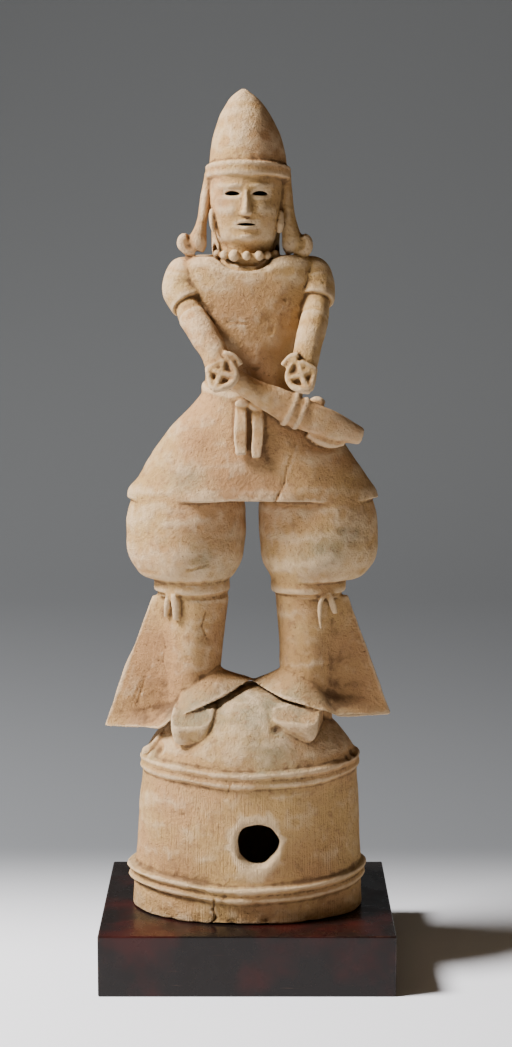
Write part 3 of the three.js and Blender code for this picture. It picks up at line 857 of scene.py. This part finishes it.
def weathered(made, lumps, random):
    """Softens the fused joints, then gives the skin its hand-worked lumps, dents and cracks."""
    mesh = made.data
    points = points_of(mesh)
    edges = edges_of(mesh)
    points = relaxed(points, edges, 2, 0.55)
    points = relaxed(points, edges, 1, -0.35)
    move(mesh, points)
    normals = normals_of(mesh)
    calm = 1 - 0.6 * smooth_step(-points[:, 1], 55, 70) * (points[:, 2] > 1078) * (points[:, 2] < 1165)
    broad = 1.0 * waves(points, 95, random) + 0.34 * waves(points, 42, random)
    sway = lumps * broad + 0.10 * waves(points, 15, random)
    shift = calm * sway - marked(points, normals)
    points = points + normals * shift[:, None]
    points[:, 0] = np.clip(points[:, 0], -HALF_SPAN, HALF_SPAN)
    points[:, 2] = np.clip(points[:, 2], DRUM_FOOT, TIP + 0.9)
    move(mesh, points)


def attribute(mesh, name, values):
    """Stores one number for each point, for a material to read."""
    made = mesh.attributes.new(name, "FLOAT", "POINT")
    made.data.foreach_set("value", np.asarray(values, np.float32))


# Broad stains, each [x, y, z, half size]: ash is grey to green; the red-brown regions are stains, except
# round the lower chest and on both fins, where they are painted shade
ASH = [
    [30, -95, 360, 60], [110, -90, 625, 36], [-60, -85, 632, 30], [-30, -70, 650, 34], [-30, -60, 600, 26],
    [150, -80, 660, 24], [110, -95, 396, 26], [-120, -85, 380, 30], [-20, -80, 415, 40], [60, -100, 400, 26],
    [-60, -90, 410, 30], [-20, -60, 880, 26], [70, -60, 715, 20], [-90, -95, 745, 26],
]
# The red-brown regions round the lower chest and on both fins are painted shade; the rest are stains
BLUSH_AND_SHADE = [
    [-138, -25, 490, 40], [-150, -25, 440, 46], [150, -25, 480, 46], [170, -25, 420, 44], [0, -66, 965, 60],
    [12, -66, 925, 46], [14, -70, 905, 42], [24, -80, 950, 30], [-150, -45, 430, 50], [-170, -40, 380, 40],
    [165, -40, 430, 50], [-46, -60, 440, 34], [-40, -60, 500, 24], [-34, -60, 1128, 12], [40, -60, 1220, 34],
    [20, -66, 1200, 24], [110, -70, 577, 30], [-10, -105, 730, 46], [62, -70, 870, 22], [-66, -80, 790, 24],
    [96, -100, 170, 50], [-100, -100, 170, 40], [30, -110, 110, 40], [116, -62, 480, 26],
]


def stained(points, regions):
    """How deep each point lies in the strongest of the regions, each a bell curve of the distance."""
    total = np.zeros(len(points))
    for x, y, z, size in regions:
        total = np.maximum(total, np.exp(-((points - [x, y, z]) ** 2).sum(1) / size**2))
    return total


def skin_attributes(mesh):
    """Point values for the clay's material: how sunken or raised the skin is (the sunken parts get painted
    shade), where it is stained, where red-brown shade is painted on the chest and fins, and where it is
    brushed."""
    points = points_of(mesh)
    normals = normals_of(mesh)
    edges = edges_of(mesh)
    near = np.einsum("ij,ij->i", relaxed(points, edges, 8) - points, normals)
    far = np.einsum("ij,ij->i", relaxed(points, edges, 40) - points, normals)
    # sunken marks the creases and hollows; the material darkens them with painted shade mixed with dirt
    attribute(mesh, "sunken", np.clip(1.1 * near + np.clip(0.12 * far, 0, 0.12), 0, 1))
    attribute(mesh, "raised", np.clip(-1.0 * near, 0, 1))
    up = smooth_step(normals[:, 2], 0.25, 0.8) * smooth_step(points[:, 2], 460, 410)
    attribute(mesh, "ash", np.clip(stained(points, ASH) + 0.5 * up, 0, 1))
    # Red-brown: stains, and painted shade on the lower chest and the fins
    attribute(mesh, "blush_and_shade", stained(points, BLUSH_AND_SHADE))
    wall = smooth_step(points[:, 2], 325, 300) * smooth_step(np.abs(points[:, 2] - LOWER_HOOP - 2), 14, 22)
    attribute(mesh, "brushed", wall)


# Materials

def linear(code):
    """An sRGB hex colour as linear red, green, blue and 1."""
    parts = [int(code[i:i + 2], 16) / 255 for i in (1, 3, 5)]
    return [p / 12.92 if p <= 0.04045 else ((p + 0.055) / 1.055) ** 2.4 for p in parts] + [1.0]


def add(tree, kind, settings=None, inputs=None):
    """Adds a node with its settings, and gives each input a value or a link from another node's socket."""
    made = tree.nodes.new(kind)
    for name, value in (settings or {}).items():
        setattr(made, name, value)
    for key, value in (inputs or {}).items():
        if isinstance(value, bpy.types.NodeSocket):
            tree.links.new(value, made.inputs[key])
        else:
            made.inputs[key].default_value = value
    return made


def blank(name):
    """A new material and its empty node tree."""
    material = bpy.data.materials.new(name)
    material.use_nodes = True
    material.node_tree.nodes.clear()
    return material, material.node_tree


def mixed(tree, amount, a, b):
    """Colour a covered by colour b as far as amount says."""
    return add(tree, "ShaderNodeMix", {"data_type": "RGBA"}, {0: amount, 6: a, 7: b}).outputs[2]


def scaled(tree, value, low, high, to_low=0.0, to_high=1.0):
    """A value brought smoothly from the range low to high into the range to_low to to_high."""
    inputs = {0: value, 1: low, 2: high, 3: to_low, 4: to_high}
    return add(tree, "ShaderNodeMapRange", {"interpolation_type": "SMOOTHSTEP"}, inputs).outputs[0]


def sums(tree, operation, a, b):
    """One sum of two values or sockets, such as ADD or MULTIPLY."""
    return add(tree, "ShaderNodeMath", {"operation": operation}, {0: a, 1: b}).outputs[0]


def noise(tree, where, scale, detail=4.0, rough=0.55):
    inputs = {"Vector": where, "Scale": scale, "Detail": detail, "Roughness": rough}
    return add(tree, "ShaderNodeTexNoise", {}, inputs).outputs[0]


def terracotta(settings):
    """Low-fired earthenware, coil-built and wiped by hand: matt, buff to pink, cloudy from the firing and the
    ground, darker in its hollows with dirt and painted shade, with red-brown painted shade on the chest and
    the fins, and paler where handling has rubbed its edges."""
    material, tree = blank("terracotta")
    where = add(tree, "ShaderNodeTexCoord").outputs["Object"]
    values = {n: add(tree, "ShaderNodeAttribute", {"attribute_name": n}).outputs["Fac"]
              for n in ("sunken", "raised", "ash", "blush_and_shade", "brushed")}
    clouds = noise(tree, where, 7.0, 5.0)
    patches = noise(tree, where, 19.0, 6.0, 0.62)
    mottle = noise(tree, where, 110.0, 6.0, 0.68)
    grain = noise(tree, where, 900.0, 3.0, 0.7)
    ash = sums(tree, "MULTIPLY", values["ash"], scaled(tree, patches, 0.36, 0.6, 0.25, 1.0))
    # Red-brown stains, and painted shade on the lower chest and the fins
    blush_and_shade = sums(tree, "MULTIPLY", values["blush_and_shade"], scaled(tree, patches, 0.3, 0.7, 0.7, 1.0))
    specks = scaled(tree, noise(tree, where, 300.0, 3.0, 0.6), 0.64, 0.76, 0, 0.7)
    # Painted shade in the creases, hollows and under the hems, mixed with dirt: darker the more sunken the
    # skin
    soil_and_shade_amount = sums(tree, "MULTIPLY", values["sunken"], sums(tree, "ADD", mottle, 0.5))
    layers = [
        (scaled(tree, patches, 0.48, 0.75, 0, 0.38), settings.pale),
        (sums(tree, "MULTIPLY", ash, 0.75), settings.ash),
        (sums(tree, "MULTIPLY", blush_and_shade, 0.6), settings.blush_and_shade),
        (scaled(tree, mottle, 0.48, 0.68, 0, 0.6), settings.brown),
        (specks, settings.soil_and_shade),
        (scaled(tree, values["raised"], 0.1, 0.8, 0, 0.6), settings.worn),
        # Painted shade with dirt in the hollows
        (scaled(tree, soil_and_shade_amount, 0.15, 0.9, 0, 0.75), settings.soil_and_shade),
    ]
    colour = mixed(tree, scaled(tree, clouds, 0.38, 0.64), linear(settings.buff), linear(settings.pink))
    for amount, code in layers:
        colour = mixed(tree, amount, colour, linear(code))
    # Brush strokes run up the drum, so their noise is drawn out along Z; about 1.6 mm apart, as on such
    # clay
    stretched = add(tree, "ShaderNodeMapping", {}, {"Vector": where, "Scale": (620.0, 620.0, 7.0)}).outputs[0]
    strokes = sums(tree, "MULTIPLY", noise(tree, stretched, 1.0, 2.0, 0.5), values["brushed"])
    pores = noise(tree, where, 230.0, 5.0, 0.66)
    height = sums(tree, "MULTIPLY", grain, 0.20)
    for layer, depth in ((mottle, 1.1), (strokes, 0.8), (pores, 0.8), (specks, -0.9)):
        height = sums(tree, "ADD", height, sums(tree, "MULTIPLY", layer, depth))
    bump = add(tree, "ShaderNodeBump", {}, {"Strength": 1.0, "Distance": 0.0028, "Height": height}).outputs[0]
    shader = add(tree, "ShaderNodeBsdfPrincipled", {}, {
        "Base Color": colour, "Roughness": 0.88, "Specular IOR Level": 0.22, "Normal": bump})
    add(tree, "ShaderNodeOutputMaterial", {}, {"Surface": shader.outputs[0]})
    return material


def lacquer(settings):
    """Wood under dark red-brown lacquer, rubbed thin along its edges and finely scratched: glossy, with a
    soft mirror image of the clay on its top."""
    material, tree = blank("lacquered_wood")
    where = add(tree, "ShaderNodeTexCoord").outputs["Object"]
    wear = add(tree, "ShaderNodeAttribute", {"attribute_name": "wear"}).outputs["Fac"]
    clouds = noise(tree, where, 9.0, 5.0)
    colour = mixed(tree, scaled(tree, clouds, 0.46, 0.7), linear(settings.dark), linear(settings.red))
    rubbed = sums(tree, "MULTIPLY", wear, scaled(tree, noise(tree, where, 60.0, 6.0, 0.7), 0.5, 0.75))
    colour = mixed(tree, rubbed, colour, linear(settings.rubbed))
    drawn = add(tree, "ShaderNodeMapping", {}, {"Vector": where, "Scale": (14.0, 60.0, 500.0)}).outputs[0]
    scratches = scaled(tree, noise(tree, drawn, 1.0, 3.0, 0.6), 0.68, 0.74, 0, 0.35)
    colour = mixed(tree, scratches, colour, linear(settings.rubbed))
    smears = scaled(tree, noise(tree, where, 24.0, 5.0, 0.6), 0.35, 0.7, 0.2, 0.38)
    height = sums(tree, "ADD", noise(tree, where, 30.0, 3.0), sums(tree, "MULTIPLY", scratches, -0.4))
    relief = {"Strength": 0.25, "Distance": 0.0006, "Height": height}
    bump = add(tree, "ShaderNodeBump", {}, relief).outputs[0]
    shader = add(tree, "ShaderNodeBsdfPrincipled", {}, {
        "Base Color": colour, "Roughness": smears, "Specular IOR Level": 0.22, "Normal": bump,
        "Coat Weight": 0.04, "Coat Roughness": 0.2})
    add(tree, "ShaderNodeOutputMaterial", {}, {"Surface": shader.outputs[0]})
    return material


def backdrop_painted_shade(settings):
    """Seamless studio paper, rolled out as one matt sheet with no gloss: pale underfoot, with painted shade
    that darkens it most at the bend and a little less up the wall behind, where the light falls off."""
    material, tree = blank("backdrop_painted_shade")
    climb = add(tree, "ShaderNodeAttribute", {"attribute_name": "climb"}).outputs["Fac"]
    colour = mixed(tree, scaled(tree, climb, 0.0, 0.5), linear(settings.floor), linear(settings.bend))
    colour = mixed(tree, scaled(tree, climb, 0.5, 1.0), colour, linear(settings.wall))
    shader = add(tree, "ShaderNodeBsdfPrincipled", {}, {"Base Color": colour, "Roughness": 0.95,
                                                        "Specular IOR Level": 0.1})
    add(tree, "ShaderNodeOutputMaterial", {}, {"Surface": shader.outputs[0]})
    return material


# Settings

def colour_setting(name, description, default):
    return bpy.props.StringProperty(name=name, description=description, default=default)


class HaniwaFigureSettings(bpy.types.PropertyGroup):
    grain: bpy.props.FloatProperty(
        name="Grain", description="Voxel size the clay is fused at", default=0.002, unit="LENGTH")
    wall: bpy.props.FloatProperty(
        name="Wall", description="Thickness of the clay", default=0.015, unit="LENGTH")
    lumps: bpy.props.FloatProperty(
        name="Lumps", description="Height of the hand-worked lumps, in millimetres", default=0.75)
    triangles: bpy.props.IntProperty(
        name="Triangles", description="Most triangles the clay's mesh may have", default=196000)
    seed: bpy.props.IntProperty(name="Seed", description="Seed for the lumps", default=7)
    buff: colour_setting("Buff", "The clay's main colour", "#B3905C")
    pink: colour_setting("Pink", "Pinker clouds in the clay", "#B48B5E")
    pale: colour_setting("Pale", "Pale bloom on the clay", "#C7AC7A")
    ash: colour_setting("Ash", "Grey-green stains", "#827F69")
    # Red-brown stains, and painted shade on the lower chest and the fins
    blush_and_shade: colour_setting("Blush", "Red-brown stains", "#8A6040")
    brown: colour_setting("Brown", "Brown freckles", "#8A6849")
    # Used for the dirt specks and for the painted shade in the hollows
    soil_and_shade: colour_setting("Soil", "Soil left in the hollows", "#5A3F29")
    worn: colour_setting("Worn", "Edges rubbed pale", "#D8BD98")


class HaniwaPlinthSettings(bpy.types.PropertyGroup):
    edge: bpy.props.FloatProperty(
        name="Edge", description="Radius of the plinth's rubbed edges", default=0.0022, unit="LENGTH")
    seed: bpy.props.IntProperty(name="Seed", description="Seed for the wear", default=3)
    dark: colour_setting("Dark", "The lacquer's main colour", "#17110F")
    red: colour_setting("Red", "Where red shows through", "#34120F")
    rubbed: colour_setting("Rubbed", "Edges and scratches", "#5E4436")


class HaniwaStageSettings(bpy.types.PropertyGroup):
    # Floor, bend and wall colours together paint the light's falloff: the darker bend and wall are painted
    # shade
    floor: colour_setting("Floor", "Colour of the floor", "#F8FAFF")
    bend: colour_setting("Bend", "Colour where the floor bends up", "#707376")
    wall: colour_setting("Wall", "Colour of the backdrop", "#868A8D")
    key: bpy.props.FloatProperty(
        name="Key", description="Power of the key light", default=575.0, unit="POWER")
    fill: bpy.props.FloatProperty(
        name="Fill", description="Power of the fill light", default=3.0, unit="POWER")
    lens: bpy.props.FloatProperty(name="Lens", description="Focal length in millimetres", default=75.6)
    stand: bpy.props.FloatVectorProperty(
        name="Stand", description="Where the camera stands", default=(0.0131, -3.230, 1.117),
        subtype="XYZ", unit="LENGTH")
    pitch: bpy.props.FloatProperty(
        name="Pitch", description="How far the camera looks down", default=math.radians(8.0), unit="ROTATION")


# Operators

def shade_smooth(mesh):
    mesh.polygons.foreach_set("use_smooth", np.ones(len(mesh.polygons), bool))
    mesh.update()


class HANIWA_OT_figure(bpy.types.Operator):
    """Builds the clay figure with its drum"""
    bl_idname = "haniwa.figure"
    bl_label = "Clay figure"

    def execute(self, context):
        settings = context.scene.haniwa_figure
        random = np.random.default_rng(settings.seed)
        wall = settings.wall / MM
        parts = [closed(rings) for rings in clay_surfaces()] + [pipe(belt())]
        clay = object_from("haniwa_clay", *merged(parts))
        remesh(clay, settings.grain)
        weathered(clay, settings.lumps, random)
        combine(clay, object_from("collar_gap", *pipe(collar_gap())), "DIFFERENCE")
        ring, beads = necklace()
        strand = object_from("strand", *merged([pipe(ring)] + [closed(bead) for bead in beads]))
        remesh(strand, 0.75 * settings.grain)
        combine(clay, strand, "UNION")
        hollow = object_from("hollow", *merged([closed(rings) for rings in hollow_surfaces(wall)]))
        remesh(hollow, 3 * settings.grain)
        combine(clay, hollow, "DIFFERENCE")
        openings = [
            slit(HEAD_X - EYE_X, EYE_Z, EYE_HALF_WIDE, 3.4, 0.9),
            slit(HEAD_X + EYE_X, EYE_Z, EYE_HALF_WIDE, 3.4, 0.9),
            slit(HEAD_X, MOUTH_Z, MOUTH_HALF_WIDE, 2.1, 0.0),
            drum_hole(-1, wall),
            drum_hole(1, wall),
        ]
        combine(clay, object_from("openings", *merged([closed(rings) for rings in openings])), "DIFFERENCE")
        corners = sum(len(face.vertices) - 2 for face in clay.data.polygons)
        if corners > settings.triangles:
            thin = clay.modifiers.new("Thin", "DECIMATE")
            thin.ratio = settings.triangles / corners
            settle(clay)
        skin_attributes(clay.data)
        shade_smooth(clay.data)
        clay.data.materials.clear()
        clay.data.materials.append(terracotta(settings))
        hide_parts("haniwa_figure")
        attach(clay, "root")
        return {"FINISHED"}


class HANIWA_OT_plinth(bpy.types.Operator):
    """Builds the lacquered wood plinth"""
    bl_idname = "haniwa.plinth"
    bl_label = "Plinth"

    def execute(self, context):
        settings = context.scene.haniwa_plinth
        random = np.random.default_rng(settings.seed)
        low, high = (np.array(corner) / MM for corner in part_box("plinth"))
        half = (high - low) / 2
        middle = (high + low) / 2
        edge = settings.edge / MM
        points, tris = closed(block(half, edge))
        rim = np.abs(points) / half
        order = np.sort(rim, axis=1)
        wear = smooth_step(order[:, 1], 0.985, 1.0)
        dents = np.clip(waves(points, 26, random), 0.6, 2) - 0.6
        points = points * (1 - (0.004 * dents * wear)[:, None])
        made = object_from("haniwa_plinth", points + middle, tris)
        attribute(made.data, "wear", wear)
        shade_smooth(made.data)
        made.data.materials.append(lacquer(settings))
        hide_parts("plinth")
        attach(made, "root")
        return {"FINISHED"}


def block(half, edge):
    """A box with rounded edges: level outlines of a rounded rectangle, each drawn in by its inset or shrunk
    towards the middle of a flat face."""
    def outline(inset):
        corner = np.linspace(0, math.pi / 2, 7)
        arcs = []
        for quarter, (sx, sy) in enumerate([(1, 1), (-1, 1), (-1, -1), (1, -1)]):
            turn = corner + quarter * math.pi / 2
            x = sx * (half[0] - edge) + (edge - inset) * np.cos(turn)
            y = sy * (half[1] - edge) + (edge - inset) * np.sin(turn)
            arcs.append(np.stack([x, y], 1))
        corners = np.concatenate(arcs)
        along = []
        for start, end in zip(corners, np.roll(corners, -1, axis=0)):
            count = 40 if np.linalg.norm(end - start) > 4 * edge else 1
            along.append(start + (end - start) * (np.arange(count) / count)[:, None])
        return np.concatenate(along)

    # Each outline's inset, share of its full size, and height
    lower = [(edge, share, -half[2]) for share in (0.02, 0.3, 0.6, 0.85, 0.96, 0.99)]
    for turn in np.linspace(0, math.pi / 2, 6):
        lower.append((edge * (1 - math.sin(turn)), 1.0, -half[2] + edge * (1 - math.cos(turn))))
    sides = [(0.0, 1.0, rise * (half[2] - edge)) for rise in np.linspace(-0.92, 0.92, 14)]
    upper = [(inset, share, -height) for inset, share, height in reversed(lower)]
    rings = []
    for inset, share, height in lower + sides + upper:
        flat = outline(inset) * share
        rings.append(np.column_stack([flat, np.full(len(flat), height)]))
    return np.stack(rings)


# The stage, in metres
SHEET_FRONT = 8.0
SHEET_HALF_WIDE = 9.0
BEND_Y = 3.2
BEND_RADIUS = 3.8
# How far along the sheet the floor's colour ends, the bend's starts and ends, and the wall's starts
PAPER_RUN = [7.95, 8.6, 9.6, 13.5]
LIGHT_AIM = np.array([0.0, 0.0, 0.62])


class HANIWA_OT_stage(bpy.types.Operator):
    """Lays the floor and backdrop, and sets the lights and the camera"""
    bl_idname = "haniwa.stage"
    bl_label = "Stage"

    def execute(self, context):
        settings = context.scene.haniwa_stage
        scene = context.scene
        self.sheet(settings)
        self.lamp("key", (-2.75, -0.76, 3.4), 1.2, settings.key, "#F8F5F4")
        self.lamp("fill", (2.4, -3.0, 1.2), 2.2, settings.fill, "#FFC57E")
        world = bpy.data.worlds.new("studio")
        world.use_nodes = True
        tree = world.node_tree
        tree.nodes.clear()
        light = add(tree, "ShaderNodeBackground", {}, {"Color": linear("#E8CDA8"), "Strength": 0.085})
        add(tree, "ShaderNodeOutputWorld", {}, {"Surface": light.outputs[0]})
        scene.world = world
        data = bpy.data.cameras.new("camera")
        data.lens = settings.lens
        camera = bpy.data.objects.new("camera", data)
        camera.location = settings.stand
        camera.rotation_euler = (math.pi / 2 - settings.pitch, 0, 0)
        scene.collection.objects.link(camera)
        scene.camera = camera
        return {"FINISHED"}

    def sheet(self, settings):
        """A sheet that lies flat to BEND_Y, then sweeps up a quarter circle of BEND_RADIUS into a wall; its
        climb runs from 0 on the floor to 1 on the wall along the sheet's own length."""
        turn = np.linspace(0, math.pi / 2, 24)[1:]
        flat = np.linspace(-SHEET_FRONT, BEND_Y, 129)
        above = np.array([0.5, 1, 2, 5])
        y = np.concatenate([flat, BEND_Y + BEND_RADIUS * np.sin(turn), 0 * above + BEND_Y + BEND_RADIUS])
        z = np.concatenate([0 * flat, BEND_RADIUS * (1 - np.cos(turn)), BEND_RADIUS + above])
        x = np.linspace(-SHEET_HALF_WIDE, SHEET_HALF_WIDE, 9)
        run = np.concatenate([[0], np.cumsum(np.hypot(np.diff(y), np.diff(z)))])
        points = np.stack(np.broadcast_arrays(x[None], y[:, None], z[:, None]), -1).reshape(-1, 3)
        i = (np.arange(len(y) - 1) * len(x))[:, None]
        j = np.arange(len(x) - 1)[None]
        faces = np.stack([i + j, i + j + 1, i + j + 1 + len(x), i + j + len(x)], -1).reshape(-1, 4)
        made = object_from("backdrop", points / MM, faces)
        # climb sets where the painted shade darkens the paper, from the floor through the bend to the wall
        climb = np.interp(run, PAPER_RUN, [0, 0.5, 0.5, 1])
        attribute(made.data, "climb", np.repeat(climb, len(x)))
        shade_smooth(made.data)
        made.data.materials.append(backdrop_painted_shade(settings))

    def lamp(self, name, place, size, power, colour):
        """A round soft light that looks at the middle of the figure."""
        data = bpy.data.lights.new(name, "AREA")
        data.shape = "DISK"
        data.size = size
        data.energy = power
        data.color = linear(colour)[:3]
        made = bpy.data.objects.new(name, data)
        made.location = place
        away = np.array(place) - LIGHT_AIM
        lean = math.atan2(math.hypot(away[0], away[1]), away[2])
        made.rotation_euler = (lean, 0, math.atan2(away[1], away[0]) + math.pi / 2)
        bpy.context.scene.collection.objects.link(made)


class HANIWA_PT_panel(bpy.types.Panel):
    """The haniwa figure's pieces"""
    bl_idname = "HANIWA_PT_panel"
    bl_label = "Haniwa figure"
    bl_space_type = "VIEW_3D"
    bl_region_type = "UI"
    bl_category = "Haniwa"

    def draw(self, context):
        for piece in SETTINGS:
            settings = getattr(context.scene, f"haniwa_{piece}")
            self.layout.operator(f"haniwa.{piece}")
            for name in settings.__annotations__:
                self.layout.prop(settings, name)


SETTINGS = {"figure": HaniwaFigureSettings, "plinth": HaniwaPlinthSettings, "stage": HaniwaStageSettings}
CLASSES = (*SETTINGS.values(), HANIWA_OT_figure, HANIWA_OT_plinth, HANIWA_OT_stage, HANIWA_PT_panel)


def register():
    for cls in CLASSES:
        bpy.utils.register_class(cls)
    for piece, group in SETTINGS.items():
        setattr(bpy.types.Scene, f"haniwa_{piece}", bpy.props.PointerProperty(type=group))


def unregister():
    for piece in SETTINGS:
        delattr(bpy.types.Scene, f"haniwa_{piece}")
    for cls in reversed(CLASSES):
        bpy.utils.unregister_class(cls)


def main():
    register()
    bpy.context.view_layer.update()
    bpy.ops.haniwa.figure()
    bpy.ops.haniwa.plinth()
    bpy.ops.haniwa.stage()


if __name__ == "__main__":
    main()
